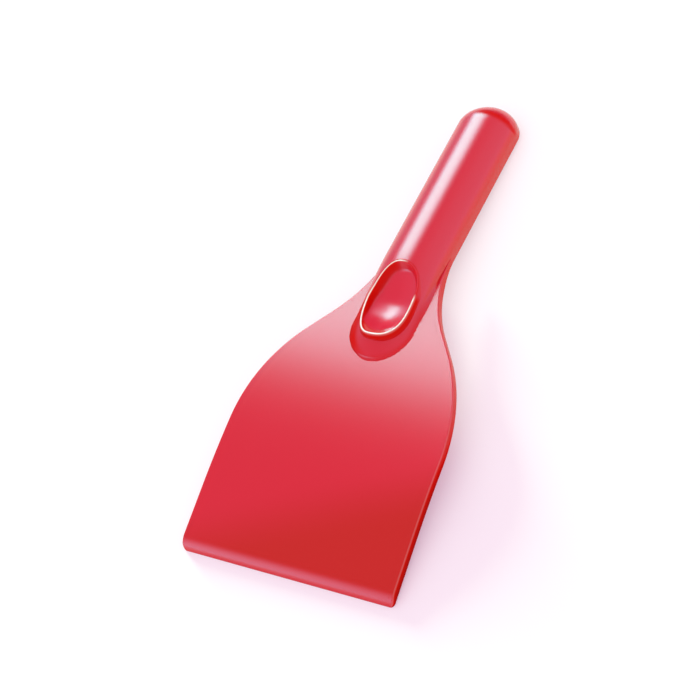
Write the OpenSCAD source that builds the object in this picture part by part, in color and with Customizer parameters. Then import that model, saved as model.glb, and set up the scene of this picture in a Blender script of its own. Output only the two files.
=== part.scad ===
// Windshield ice scraper: a fan-shaped bent blade and a hollow half-round handle with a thumb rest.
// It lies face up on its scraping edge and the end of its handle.
// +X is across the blade, +Y runs from the scraping edge to the end of the handle, +Z is the front.
// Lengths called plan lengths are measured along the handle's base plane, from the handle's end.

/* [Overall] */
// Plan length from the end of the handle to the scraping edge
overall_l = 215; // [175:1:260]
// Width of the scraping edge
blade_w = 100; // [80:1:125]

/* [Blade] */
// Depth of the blade's side walls, which is the full thickness of the blade
edge_depth = 3.6; // [3:0.1:5]
// Thickness of the thinner panel inside the side rims
panel_t = 2.4; // [1.6:0.1:2.8]
// Width of the thick rim along each side
rim_w = 2.2; // [1.5:0.1:4]
// Radius of the convex shoulder
shoulder_r = 71.5; // [40:0.5:90]
// Radius of the concave neck
neck_r = 59; // [30:0.5:80]
// Length of the straight side behind the scraping edge
side_l = 53; // [35:1:65]
// Outward slope of the straight side, in degrees
side_flare = 0.4; // [0:0.1:2]
// Plan length at which the blade starts to bend
bend_start = 103; // [90:1:115]
// Angle between the handle and the flat end of the blade, in degrees
bend_angle = 14.2; // [8:0.1:20]
// Length of the flat end of the blade, behind the scraping edge
flat_l = 27; // [20:1:32]
// Length of the full-thickness band behind the scraping edge
edge_band_l = 11; // [9:0.5:18]
// Radius that rolls the front face over to the scraping edge
edge_roll_r = 7; // [5.5:0.1:9]
// Radius of the two corners of the scraping edge
corner_r = 1.8; // [0.5:0.1:4]

/* [Handle] */
// Width of the handle
handle_w = 27.5; // [22:0.5:34]
// Height of the handle, from its base to its crest
handle_h = 13.6; // [11:0.1:18]
// Plan length of the rounded end of the handle
cap_l = 11.5; // [8:0.5:14]
// Wall of the hollow handle
handle_wall = 2.2; // [1.6:0.1:3]
// Length of the sloping crest before the thumb rest
ramp_lead = 4.4; // [2:0.1:8]
// Plan length of the handle, from its end to its nose on the blade
handle_l = 126; // [116:1:140]
// Height of the crest above the base at the nose
nose_h = 8.5; // [7:0.1:11]
// Plan length at which the sides of the handle start to flare into the blade
neck_start = 72.5; // [64:0.5:80]

/* [Thumb rest] */
// Width of the handle's shoulder on each side of the rim
shoulder_w = 2.85; // [2.4:0.05:5]
// Length of the thumb rest over its rim
dish_l = 33.6; // [26:0.1:41]
// Length of the nose of the handle beyond the rim
nose_l = 8; // [5:0.5:14]
// Width of the raised rim
lip_t = 1; // [0.6:0.1:1.6]
// Height of the rim over the nose of the handle
lip_h = 1; // [0.5:0.1:2]
// Depth of the ring that makes the raised rim
lip_ring_h = 1.4; // [0.8:0.1:2]
// Drop of the rim from its middle line to its sides
lip_crown = 2.4; // [1:0.1:3]
// Height of the floor of the dish above the base of the handle
dish_floor_z = 4.4; // [3.6:0.1:5.5]
// Wall under the dish
dish_wall = 1.6; // [1:0.1:2]
// Radius between the floor and the wall of the dish
dish_floor_r = 3.6; // [2:0.1:5]

/* [Ribs] */
// Number of cross ribs in the hollow of the handle
rib_count = 4; // [2:1:6]
// Thickness of a cross rib
rib_t = 1.6; // [1:0.1:2.5]
// Plan length of the first rib
rib_first = 18; // [14:1:24]
// Gap between the last rib and the start of the sloping crest
rib_gap = 3.4; // [1:0.1:10]
// Distance that the ribs stand back from the base of the handle
rib_recess = 0.8; // [0.4:0.1:2]

/* [Hidden] */
$fn = 96;
plastic = [0.84, 0.10, 0.16];
reach = 2 * (overall_l + blade_w);   // longer than anything here, for cutting shapes
lap = 1;                             // how far cutting shapes run past what they cut
arc_steps = 16;                      // straight steps in each arc of the blade
arc_share = 0.995;                   // share of the room between neck and shoulder that their arcs may take
neck_lead = 6;                       // plan length over which the neck leaves the side of the handle
slice = 0.01;                        // thickness of the section from which the front of the handle slopes
slope_fn = 48;                       // steps round the sloping front of the handle

// Blade: half width, the bend that reaches the overall length, and the length along the flat end
half_w = blade_w / 2;
bend_r = (overall_l - bend_start - flat_l * cos(bend_angle)) / sin(bend_angle);
flat_start = bend_start + bend_r * sin(bend_angle);
flat_drop = bend_r * (1 - cos(bend_angle));
tip_drop = flat_drop + flat_l * sin(bend_angle);
roll_angle = asin((edge_roll_r - edge_depth) / edge_roll_r);
roll_start = flat_l - edge_roll_r * cos(roll_angle);

// Handle: half width, height of the dome above the side wall, and the middle of the rounded nose
half_h = handle_w / 2;
dome_h = handle_h - edge_depth;
nose_dome_h = nose_h - edge_depth;
nose_mid = handle_l - half_h;

// Thumb rest: its half width, both ends of its rim, and where the crest starts to slope
dish_half_w = half_h - shoulder_w;
dish_end = handle_l - nose_l;
dish_top = dish_end - dish_l;
ramp_start = dish_top - ramp_lead;
rib_pitch = (ramp_start - rib_gap - rib_t - rib_first) / (rib_count - 1);

// Outline: both radii shrink together where the blade leaves no room for them
shoulder_end = overall_l - side_l;
shoulder_x = half_w - side_l * tan(side_flare);
span_x = shoulder_x - half_h;
span_y = shoulder_end - neck_start;
fit_r = min(1, arc_share * (pow(span_x, 2) + pow(span_y, 2)) / (2 * span_x * (shoulder_r + neck_r)));
r_neck = neck_r * fit_r;
r_shoulder = shoulder_r * fit_r;
neck_c = [half_h + r_neck, -neck_start];
shoulder_c = [shoulder_x - r_shoulder * cos(side_flare), -shoulder_end - r_shoulder * sin(side_flare)];
link = shoulder_c - neck_c;
slope = atan2(-link.y, -link.x) - acos(min(1, (r_neck + r_shoulder) / norm(link)));
blade_top = neck_start + neck_lead;  // the blade's own pieces start here

// The crowned surface that cuts the rim of the thumb rest
lip_low_z = edge_depth + nose_dome_h * sqrt(1 - pow((dish_end - nose_mid) / half_h, 2)) + lip_h;
lip_top_z = handle_h - (handle_h - nose_h) * ramp_lead / (nose_mid - ramp_start);
lip_tilt = atan2(lip_top_z - lip_low_z, dish_l);
lip_crown_r = (pow(dish_half_w, 2) + pow(lip_crown, 2)) / (2 * lip_crown);

// Lying pose: the handle's base plane is turned about X until the scraping edge touches the floor too
lie_angle = atan2(tip_drop, overall_l);
chord = sqrt(pow(overall_l, 2) + pow(tip_drop, 2));
cap_reach = edge_depth * sin(lie_angle) - cap_l * cos(lie_angle)
    + sqrt(pow(cap_l * cos(lie_angle), 2) + pow(dome_h * sin(lie_angle), 2));

rib_names = [for (i = [1 : rib_count]) str("handle_rib_", i)];

// ---- Placing ----

// Turns the handle's frame into the lying pose, with the origin under the middle of the box.
module lying() {
    color(plastic)
        translate([0, (chord - cap_reach) / 2, 0])
            rotate([-lie_angle, 0, 0])
                children();
}

// Extrudes a side view across the whole width: its x is the plan length, its y is the height.
module across(width = reach) {
    rotate([90, 0, -90])
        linear_extrude(width, center = true)
            children();
}

// ---- Blade outline, in plan ----

function turned(a) = [cos(a), sin(a)];

// Points on an arc about a centre, from one angle to another, both ends included.
function arc(centre, r, from, to) = [
    for (i = [0 : arc_steps]) centre + r * turned(from + (to - from) * i / arc_steps)
];

function reversed(points) = [for (i = [len(points) - 1 : -1 : 0]) points[i]];

// The right side of the blade's outline, set in by a distance from its true edge: the concave neck,
// the convex shoulder, and the straight side down to the scraping edge. Only the true edge ends in a
// rounded corner.
function side_points(inset) =
    let (
        side_x = half_w - inset / cos(side_flare),
        corner = [side_x - corner_r / cos(side_flare) - corner_r * tan(side_flare), corner_r - overall_l]
    )
    concat(
        arc(neck_c, r_neck + inset, 180, 180 + slope),
        arc(shoulder_c, r_shoulder - inset, slope, side_flare),
        inset > 0 ? [[side_x, -overall_l]] : arc(corner, corner_r, side_flare, -90)
    );

module fan(inset = 0) {
    right = side_points(inset);
    polygon(concat(right, [for (p = reversed(right)) [-p.x, p.y]]));
}

// The fan between two plan lengths, as a tall prism.
module fan_prism(from, to, inset = 0) {
    translate([0, 0, -reach / 4])
        linear_extrude(reach / 2)
            intersection() {
                fan(inset);
                translate([-reach / 2, -to]) square([reach, to - from]);
            }
}

// ---- Blade side view: x is the plan length, y is the height ----

// A point on the flat end of the blade, at a length along it and a height over its back.
function on_flat(length, height) =
    [flat_start, -flat_drop] + length * turned(-bend_angle) + height * turned(90 - bend_angle);

// The bend, at a height over the back of the blade.
function bend_line(height) =
    arc([bend_start, -bend_r], bend_r + height, 90, 90 - bend_angle);

// The front face's roll down to the back face, at the scraping edge.
function roll_line() = [
    for (p = arc([roll_start, edge_depth - edge_roll_r], edge_roll_r, 90, roll_angle)) on_flat(p.x, p.y)
];

module panel_side() {
    low = edge_depth - panel_t;
    end = flat_l - edge_band_l;
    polygon(concat(
        [[blade_top, low]], bend_line(low), [on_flat(end, low), on_flat(end, edge_depth)],
        reversed(bend_line(edge_depth)), [[blade_top, edge_depth]]
    ));
}

module rim_side() {
    polygon(concat(
        [[blade_top, 0]], bend_line(0), reversed(roll_line()),
        reversed(bend_line(edge_depth)), [[blade_top, edge_depth]]
    ));
}

module edge_side() {
    start = flat_l - edge_band_l;
    polygon(concat([on_flat(start, 0)], reversed(roll_line()), [on_flat(start, edge_depth)]));
}

// ---- Handle ----

// Half of the handle's cross-section: an upright wall with a quarter ellipse over it.
module half_section(width, height) {
    square([width, edge_depth]);
    intersection() {
        translate([0, edge_depth]) scale([1, height / width]) circle(width);
        translate([0, edge_depth]) square([width + lap, height + lap]);
    }
}

module section(width, height) {
    half_section(width, height);
    mirror([1, 0]) half_section(width, height);
}

// The straight part of the handle between two plan lengths.
module straight_form(width, height, from, to) {
    translate([0, -from, 0])
        rotate([90, 0, 0])
            linear_extrude(to - from)
                section(width, height);
}

// A rounded end about its middle, on the +Y side, with a given length.
module round_form(width, height, length) {
    scale([1, length / width, 1])
        rotate_extrude(angle = 180)
            half_section(width, height);
}

// The front of the handle as a filled form: the full section slopes down to the rounded nose.
module front_form(width, height, end_height, nose_end, from) {
    hull($fn = slope_fn) {
        straight_form(width, height, from, ramp_start + slice);
        translate([0, -nose_mid, 0])
            mirror([0, 1, 0])
                round_form(width, end_height, nose_end - nose_mid);
    }
}

// ---- Thumb rest ----

// A deep bowl with round ends, set in by a distance from the outside of the rim, and with a rounded edge
// between its floor and its wall.
module bowl(inset, floor_z, floor_r) {
    r = dish_half_w - inset;
    for (i = [0, 1])
        translate([0, i == 0 ? -dish_top - dish_half_w : dish_half_w - dish_end, floor_z])
            rotate([0, 0, i * 180])
                rotate_extrude(angle = 180)
                    bowl_section(r, floor_r);
    translate([0, -dish_top - dish_half_w, floor_z])
        rotate([90, 0, 0])
            linear_extrude(dish_l - 2 * dish_half_w) {
                bowl_section(r, floor_r);
                mirror([1, 0]) bowl_section(r, floor_r);
            }
}

module bowl_section(r, floor_r) {
    square([r - floor_r, 2 * handle_h]);
    translate([0, floor_r]) square([r, 2 * handle_h - floor_r]);
    intersection() {
        translate([r - floor_r, floor_r]) circle(floor_r);
        translate([r - floor_r, 0]) square(floor_r);
    }
}

// The crowned surface that shapes the top of the rim, as the solid below it, lowered by a distance.
module below_lip(drop = 0) {
    translate([0, -dish_end, lip_low_z - drop])
        rotate([lip_tilt, 0, 0])
            translate([0, dish_l / 2, -lip_crown_r])
                rotate([90, 0, 0])
                    cylinder(r = lip_crown_r, h = 3 * dish_l, center = true);
}

// The dish and its rim together, as an open cup with a wall all round and below.
module cup() {
    difference() {
        intersection() {
            bowl(0, dish_floor_z - dish_wall, dish_floor_r + dish_wall);
            below_lip();
        }
        bowl(lip_t, dish_floor_z, dish_floor_r);
    }
}

// ---- Sub-parts ----

module blade_panel() {
    lying()
        difference() {
            intersection() {
                fan_prism(blade_top, overall_l, rim_w);
                across() panel_side();
            }
            handle_footprint();
        }
}

// The plan of the handle's front, as a tall prism that the blade's pieces fit round.
module handle_footprint() {
    translate([0, 0, -reach / 4])
        linear_extrude(reach / 2) {
            translate([0, -nose_mid]) circle(half_h);
            translate([-half_h, -nose_mid]) square([handle_w, nose_mid]);
        }
}

module side_rim(side) {
    lying()
        difference() {
            intersection() {
                fan_prism(blade_top, overall_l);
                across() rim_side();
                translate([side > 0 ? 0 : -reach, -reach, -reach / 2]) cube(reach);
            }
            fan_prism(blade_top - lap, overall_l + lap, rim_w);
            handle_footprint();
        }
}

module scraping_edge() {
    lying()
        intersection() {
            fan_prism(blade_top, overall_l, rim_w);
            across() edge_side();
        }
}

module handle_grip() {
    lying()
        difference() {
            straight_form(half_h, dome_h, cap_l, ramp_start);
            straight_form(half_h - handle_wall, dome_h - handle_wall, cap_l - lap, ramp_start + lap);
        }
}

module handle_end_cap() {
    lying()
        translate([0, -cap_l, 0])
            difference() {
                round_form(half_h, dome_h, cap_l);
                round_form(half_h - handle_wall, dome_h - handle_wall, cap_l - handle_wall);
            }
}

module thumb_housing() {
    lying()
        difference() {
            front_form(half_h, dome_h, nose_dome_h, handle_l, ramp_start);
            front_form(half_h - handle_wall, dome_h - handle_wall, nose_dome_h - handle_wall,
                handle_l - handle_wall, ramp_start - lap);
            bowl(0, dish_floor_z - dish_wall, dish_floor_r + dish_wall);
        }
}

module thumb_dish() {
    lying()
        intersection() {
            cup();
            below_lip(lip_ring_h);
        }
}

module thumb_rim() {
    lying()
        difference() {
            cup();
            below_lip(lip_ring_h);
        }
}

module handle_rib(i) {
    from = rib_first + (i - 1) * rib_pitch;
    lying()
        difference() {
            straight_form(half_h - handle_wall, dome_h - handle_wall, from, from + rib_t);
            translate([-half_h, -from - 2 * rib_t, -lap]) cube([handle_w, 3 * rib_t, lap + rib_recess]);
        }
}

blade_panel();
side_rim(-1);  // left_side_rim
side_rim(1);  // right_side_rim
scraping_edge();
handle_grip();
handle_end_cap();
thumb_housing();
thumb_dish();
thumb_rim();
for (i = [1 : rib_count])
    handle_rib(i);
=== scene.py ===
# %% [markdown]
# # A windshield ice scraper, moulded in one shot of red polypropylene
#
# The imported model is the frame: thirteen solids at their real size, lying face up on the scraping edge
# and on the end of the handle. Everything below builds their visible skin.

# %% Load the frame
import math

import bmesh
import bpy
import numpy as np
from mathutils import Matrix, Vector


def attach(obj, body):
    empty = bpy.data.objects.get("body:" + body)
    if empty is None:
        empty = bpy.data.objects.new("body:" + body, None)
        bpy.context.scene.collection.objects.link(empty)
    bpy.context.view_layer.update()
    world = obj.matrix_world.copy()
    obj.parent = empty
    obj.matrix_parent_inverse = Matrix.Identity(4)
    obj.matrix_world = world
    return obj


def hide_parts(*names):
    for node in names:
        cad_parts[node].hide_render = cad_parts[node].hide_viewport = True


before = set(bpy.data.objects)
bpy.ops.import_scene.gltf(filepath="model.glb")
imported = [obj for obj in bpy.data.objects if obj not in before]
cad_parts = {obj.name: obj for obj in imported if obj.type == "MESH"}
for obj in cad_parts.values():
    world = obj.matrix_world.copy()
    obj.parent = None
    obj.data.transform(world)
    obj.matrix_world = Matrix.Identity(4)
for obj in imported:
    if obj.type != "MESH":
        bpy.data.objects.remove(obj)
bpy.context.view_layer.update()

print("solids in the frame:", len(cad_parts))

# %% [markdown]
# ## Driving sizes
#
# These are the sizes in millimetres that the solids were made with. Everything is drawn in the handle's
# own frame, where the handle is straight and level: x across, the plan length s from the end of the
# handle to the scraping edge, y = -s, and z over the handle's flat base. One function lays that frame
# down at the end.

# %% Sizes of the blade and the handle, in millimetres
overall_l, blade_w = 215.0, 100.0
edge_depth, panel_t, rim_w = 3.6, 2.4, 2.2
shoulder_r, neck_r, fit_margin = 71.5, 59.0, 0.995
side_l, side_flare = 53.0, math.radians(0.4)
bend_start, bend_angle = 103.0, math.radians(14.2)
flat_l, edge_band_l, edge_roll_r, corner_r = 27.0, 11.0, 7.0, 1.8

handle_w, handle_h, cap_l, handle_wall = 27.5, 13.6, 11.5, 2.2
handle_l, nose_h, neck_start, crest_flat = 126.0, 8.5, 72.5, 80.0

# %% Sizes worked out from them
half_w, half_h = blade_w / 2, handle_w / 2
dome_h, nose_dome_h = handle_h - edge_depth, nose_h - edge_depth
nose_mid = handle_l - half_h
bend_r = (overall_l - bend_start - flat_l * math.cos(bend_angle)) / math.sin(bend_angle)
flat_start = bend_start + bend_r * math.sin(bend_angle)
flat_drop = bend_r * (1 - math.cos(bend_angle))
tip_drop = flat_drop + flat_l * math.sin(bend_angle)
print("bend radius", round(bend_r, 1), "drop of the tip", round(tip_drop, 2))

# %% [markdown]
# Laid down, the object touches the ground with the end of the handle's base and with the scraping edge,
# so it lies at the angle of the line between them. From the side the rounded end is half an ellipse: its
# furthest point, once tilted, is its centre plus the hypotenuse of its tilted half axes.

# %% From the handle's frame, in millimetres, to the row frame, in metres
lie_angle = math.atan2(tip_drop, overall_l)
chord = math.hypot(overall_l, tip_drop)
end_centre = edge_depth * math.sin(lie_angle) - cap_l * math.cos(lie_angle)
cap_reach = end_centre + math.hypot(cap_l * math.cos(lie_angle), dome_h * math.sin(lie_angle))


def lay_down(points):
    """Turns the points about x by the lying angle, then moves them so that the object is centred."""
    points = np.asarray(points, float)
    cos, sin = math.cos(lie_angle), math.sin(lie_angle)
    x, y, z = points[..., 0], points[..., 1], points[..., 2]
    laid = [x, y * cos + z * sin + (chord - cap_reach) / 2, z * cos - y * sin]
    return np.stack(laid, axis=-1) / 1000


print("lying angle", round(math.degrees(lie_angle), 2))
print("the same corner laid down here: ", (1000 * lay_down([rim_w - half_w, -overall_l, -tip_drop])).round(2))

# %% [markdown]
# ## The camera
#
# The camera comes first, because every shape is judged from where it stands. It looks down on the face
# from beside the scraping edge, tilted, through a long lens. A Track To constraint could aim it but not
# tilt it, so its three axes are worked out from three angles and written into its matrix. The small shift
# slides the picture without turning the view.

# %% A new object in the scene
def placed(name, data):
    """An object made of its data and linked to the scene."""
    made = bpy.data.objects.new(name, data)
    bpy.context.scene.collection.objects.link(made)
    return made


# %% The camera
view_azimuth, view_elevation, view_roll = map(math.radians, (56.47, 48.71, -38.19))
view_distance, lens_mm, sensor_mm = 0.763, 99.93, 36
view_shift, look_at_s = (-0.0537, -0.0303), 110
view_target = Vector(lay_down([0, -look_at_s, 0]))

back = Vector((
    math.sin(view_azimuth) * math.cos(view_elevation),
    -math.cos(view_azimuth) * math.cos(view_elevation),
    math.sin(view_elevation),
))
level = Vector((math.cos(view_azimuth), math.sin(view_azimuth), 0))
upright = back.cross(level)
right = level * math.cos(view_roll) + upright * math.sin(view_roll)
up = upright * math.cos(view_roll) - level * math.sin(view_roll)

camera = placed("camera", bpy.data.cameras.new("camera"))
turned = Matrix((right, up, back)).transposed().to_4x4()
camera.matrix_world = Matrix.Translation(view_target + back * view_distance) @ turned
camera.data.lens, camera.data.sensor_width = lens_mm, sensor_mm
camera.data.shift_x, camera.data.shift_y = view_shift
bpy.context.scene.camera = camera
print("camera at", [round(v, 3) for v in camera.location])

# %% [markdown]
# ## The light
#
# A large soft box hangs up and to the left behind the handle. The long highlight on the handle and the
# pale sheen on the neck of the blade mirror it. A lamp as bright as that would light the form too hard,
# so box and room are one world shader, which can tell a mirrored ray and a lighting ray different
# strengths. Three helpers for shaders come first.

# %% A written colour as light, an empty tree, and a node added with its links
def colour(code):
    """An sRGB colour written as six hex digits, as linear red, green, blue and alpha."""
    shown = np.array([int(code[i:i + 2], 16) for i in (0, 2, 4)]) / 255
    linear = np.where(shown <= 0.04045, shown / 12.92, ((shown + 0.055) / 1.055) ** 2.4)
    return (*linear.tolist(), 1.0)


def empty_tree(owner):
    """The node tree of a world or a material, without the nodes that it starts with."""
    owner.use_nodes = True
    owner.node_tree.nodes.clear()
    return owner.node_tree


def add(tree, kind, inputs=None, give=0, **settings):
    """Adds a node. settings are its properties, and inputs are its sockets: a value, or an output to
    link. give is the output that is handed back, by number or name, and None hands back all of them."""
    made = tree.nodes.new(kind)
    for name, value in settings.items():
        setattr(made, name, value)
    for name, value in (inputs or {}).items():
        if isinstance(value, bpy.types.NodeSocket):
            tree.links.new(value, made.inputs[name])
        else:
            made.inputs[name].default_value = value
    return made.outputs if give is None else made.outputs[give]


# %% A panel of light in the world
def panel_axes(around, rise, lean):
    """The panel's middle, turned about y from -x and raised towards +y, and two directions across it.
    The first of the two is turned towards the second by the lean, so the panel is a leaning oblong."""
    across_middle = math.cos(rise)
    middle = Vector((-across_middle * math.cos(around), math.sin(rise), across_middle * math.sin(around)))
    across = Vector((0, 1, 0)).cross(middle).normalized()
    upward = middle.cross(across)
    return middle, across * math.cos(lean) + upward * math.sin(lean), upward


def panel_light(tree, direction, axes, halves, softness):
    """One inside the panel and nought outside. Along each direction across the panel, the tangent of the
    angle off its middle is a ratio of two dot products, and the edge is a smooth step in that tangent,
    from the half width less its softness to the half width plus it."""
    dots = [add(tree, "ShaderNodeVectorMath", {0: direction, 1: axis}, "Value", operation="DOT_PRODUCT")
            for axis in axes]
    lit = add(tree, "ShaderNodeMath", {0: dots[0], 1: 0.0}, operation="GREATER_THAN")
    for dot, half, soft in zip(dots[1:], halves, softness):
        off_middle = add(tree, "ShaderNodeMath", {0: dot, 1: dots[0]}, operation="DIVIDE")
        off_middle = add(tree, "ShaderNodeMath", {0: off_middle}, operation="ABSOLUTE")
        edge = add(tree, "ShaderNodeMapRange", {
            "Value": off_middle, "From Min": math.tan(half - soft), "From Max": math.tan(half + soft),
            "To Min": 1.0, "To Max": 0.0,
        }, interpolation_type="SMOOTHSTEP")
        lit = add(tree, "ShaderNodeMath", {0: lit, 1: edge}, operation="MULTIPLY")
    return lit


# %% The soft box
box_around, box_rise, box_lean = 48.0, 36.05, 23.1
box_halves, box_softness = (13.15, 15.8), (7.1, 2.2)

world = bpy.data.worlds.new("pale_room")
sky = empty_tree(world)
way = add(sky, "ShaderNodeTexCoord", give="Generated")

box_axes = panel_axes(*map(math.radians, (box_around, box_rise, box_lean)))
box = panel_light(sky, way, box_axes, map(math.radians, box_halves), map(math.radians, box_softness))
print("soft box, in degrees:", [2 * half for half in box_halves])

# %% [markdown]
# The room that the plastic mirrors is dim overhead and brighter down to the horizon. It is bright in
# front on the left, where the roll of the scraping edge mirrors it, a little brighter on the right, and
# dark past the end of the handle. These areas are made of smooth steps, each in one component of the
# direction: from the first number, where it is nought, to the second, where it is one.
#
# What is mirrored is a cool blue-green: with less red of its own it makes a pink highlight on red plastic
# and not an orange one. The light that falls on the object is white, with only a small share of the box.
# A camera ray sees plain white.

# %% The room, and what each kind of ray sees of it
box_gloss, box_share, room_light = 13.2, 0.053, 1.0
box_colour, room_colour = "8cf0f7", "80deff"
ceiling, walls, front_left, right_side = 0.19, 0.66, 4.2, 0.65
steps = {
    "in_front": ("Y", -0.35, -0.80),
    "to_left": ("X", -0.20, -0.66),
    "to_right": ("X", -0.35, 0.50),
    "not_behind": ("Y", 0.90, 0.72),
}

parts = add(sky, "ShaderNodeSeparateXYZ", {"Vector": way}, give=None)
rays = add(sky, "ShaderNodeLightPath", give=None)
step = {name: add(sky, "ShaderNodeMapRange", {"Value": parts[axis], "From Min": nought, "From Max": one},
                  interpolation_type="SMOOTHSTEP") for name, (axis, nought, one) in steps.items()}
low_down = add(sky, "ShaderNodeMath", {0: 1.0, 1: parts["Z"]}, operation="SUBTRACT", use_clamp=True)
in_corner = add(sky, "ShaderNodeMath", {0: step["in_front"], 1: step["to_left"]}, operation="MULTIPLY")

mirrored = ceiling
for share, strength in ((low_down, walls), (in_corner, front_left), (step["to_right"], right_side)):
    mirrored = add(sky, "ShaderNodeMath", {0: share, 1: strength, 2: mirrored}, operation="MULTIPLY_ADD")
mirrored = add(sky, "ShaderNodeMath", {0: mirrored, 1: step["not_behind"]}, operation="MULTIPLY")
mirrored = add(sky, "ShaderNodeMath", {0: box, 1: box_gloss, 2: mirrored}, operation="MULTIPLY_ADD")
box_light = box_gloss * box_share
lighting = add(sky, "ShaderNodeMath", {0: box, 1: box_light, 2: room_light}, operation="MULTIPLY_ADD")

seen = add(sky, "ShaderNodeMix", {"Factor": rays["Is Camera Ray"], 2: lighting, 3: 1.0}, data_type="FLOAT")
tints = {"Factor": box, 6: colour(room_colour), 7: colour(box_colour)}
tint = add(sky, "ShaderNodeMix", tints, give=2, data_type="RGBA")
plain = add(sky, "ShaderNodeBackground", {"Color": colour("ffffff"), "Strength": seen})
cool = add(sky, "ShaderNodeBackground", {"Color": tint, "Strength": mirrored})
room = add(sky, "ShaderNodeMixShader", {0: rays["Is Glossy Ray"], 1: plain, 2: cool})
add(sky, "ShaderNodeOutputWorld", {"Surface": room}, give=None)
bpy.context.scene.world = world
bpy.context.scene.view_settings.view_transform = "Standard"
print("soft box mirrored at", box_gloss, "and lighting at", round(box_light, 2))

# %% [markdown]
# ## The floor
#
# The scraper lies on a white sheet of paper. To the camera the open sheet is plain white, in three parts:
# a light grey that gives back the light of the room, which the object's shadow takes away, a low lamp's
# share, which the blade takes away, and a glow for the rest. The lamp is made last, because it is told
# which pieces cast its shadow. Every other ray sees paper just dark enough to give back room and lamp
# together as white paper gives back the room.

# %% The floor
floor_reach = 3.0
seen_white, open_level = colour("bebebe"), 0.59
open_white = open_level * np.array(colour("fceef6")[:3])
lamp_way = Vector((50, -34, -12)).normalized()
lamp_share = np.array([0.13, 0.22, 0.15])
glow = open_white - lamp_share
paper_white = 1 / (1 + lamp_share / seen_white[0])

corners = [(x * floor_reach, y * floor_reach, 0) for x, y in ((-1, -1), (1, -1), (1, 1), (-1, 1))]
floor_mesh = bpy.data.meshes.new("floor")
floor_mesh.from_pydata(corners, [], [(0, 1, 2, 3)])
floor = placed("floor", floor_mesh)

paper = bpy.data.materials.new("white_paper")
tree = empty_tree(paper)
at_camera = add(tree, "ShaderNodeLightPath", give="Is Camera Ray")
matt = add(tree, "ShaderNodeBsdfDiffuse", {"Color": (*paper_white.tolist(), 1.0)})
seen_matt = add(tree, "ShaderNodeBsdfDiffuse", {"Color": seen_white})
glow_colour, glow_strength = (*(glow / glow.max()).tolist(), 1.0), float(glow.max())
shine = add(tree, "ShaderNodeEmission", {"Color": glow_colour, "Strength": glow_strength})
both = add(tree, "ShaderNodeAddShader", {0: seen_matt, 1: shine})
pick = add(tree, "ShaderNodeMixShader", {0: at_camera, 1: matt, 2: both})
add(tree, "ShaderNodeOutputMaterial", {"Surface": pick}, give=None)
floor_mesh.materials.append(paper)
print("the floor's glow", glow.round(2), "and what other rays see", paper_white.round(2))

# %% [markdown]
# ## From grids of points to closed solids
#
# A moulding is one closed skin. Each piece is a few grids of points: its face, its back and the strips
# that join them. A Solidify modifier could make a back, but the backs here have shapes of their own.
# Grids that meet share their points there, so merging the doubles closes the solid, and a loop that is
# still open becomes a flat end. Edges sharper than a set angle stay crisp.
#
# Light also comes through red plastic where its walls are steep or of little thickness. The solids are
# opaque, so light and shade are painted as colour, by three marks from nought to one on every point: the
# first for a wall painted deep red with less shine, a painted glow as if lit from behind, the second for
# painted highlights (the pale line on the rim of the thumb rest and a fine line along the side rims), and
# the third for the floor of the dish, painted brighter against the shade of its walls. Only at the foot
# of the side walls does the first mark run past one, and what is past one is painted shade there.

# %% Grids with marks to a mesh
# Marks in order: painted glow and shade, painted highlight, painted floor light.
marks = ("painted_glow_mark", "crest", "painted_floor_light")


def marked(sheet, *values):
    """A sheet with a value for each mark beside the xyz of every point. Marks left out are nought."""
    columns = [np.broadcast_to(value, sheet.shape[:2]) for value in values]
    return np.concatenate([sheet, np.stack(columns, axis=-1)], axis=2)


def grid_mesh(name, sheets):
    """A mesh from grids, rows by columns by xyz and marks: each four neighbours make a face."""
    points, quads, count = [], [], 0
    for sheet in sheets:
        rows, columns = sheet.shape[:2]
        index = np.arange(rows * columns).reshape(rows, columns) + count
        corners = [index[:-1, :-1], index[1:, :-1], index[1:, 1:], index[:-1, 1:]]
        quads.append(np.stack(corners, axis=-1).reshape(-1, 4))
        row = sheet.reshape(rows * columns, -1)
        points.append(np.pad(row, ((0, 0), (0, 3 + len(marks) - row.shape[1]))))
        count += rows * columns
    points = np.concatenate(points)
    mesh = bpy.data.meshes.new(name)
    mesh.from_pydata(lay_down(points[:, :3]).tolist(), [], np.concatenate(quads).tolist())
    for number, mark in enumerate(marks):
        mesh.attributes.new(mark, "FLOAT", "POINT").data.foreach_set("value", points[:, 3 + number])
    return mesh


# %% A mesh to a closed solid
crisp_angle = math.radians(32)
merge_mm = 0.0004


def solid(name, sheets):
    """A piece of the moulding from its grids: merged, closed, turned outwards and attached to the root."""
    mesh = grid_mesh(name, sheets)
    shape = bmesh.new()
    shape.from_mesh(mesh)
    bmesh.ops.remove_doubles(shape, verts=shape.verts, dist=merge_mm / 1000)
    open_loops = [edge for edge in shape.edges if edge.is_boundary]
    if open_loops:
        bmesh.ops.holes_fill(shape, edges=open_loops, sides=0)
    bmesh.ops.recalc_face_normals(shape, faces=shape.faces)
    if shape.calc_volume(signed=True) < 0:
        bmesh.ops.reverse_faces(shape, faces=shape.faces)
    still_open = sum(not edge.is_manifold for edge in shape.edges)
    volume = shape.calc_volume() * 1e6
    shape.to_mesh(mesh)
    shape.free()
    mesh.shade_smooth()
    mesh.set_sharp_from_angle(angle=crisp_angle)

    piece = placed(name, mesh)
    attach(piece, "root")
    print(f"{name}: {len(mesh.polygons)} faces, {volume:.2f} cm3, open edges {still_open}")
    return piece


# %% Four helpers for lines and grids
def together(*axes):
    """Arrays or numbers, spread to one shape, as the last axis of one array: x and s of a line in plan, or
    x, y and z of a sheet."""
    return np.stack(np.broadcast_arrays(*axes), axis=-1)


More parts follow.
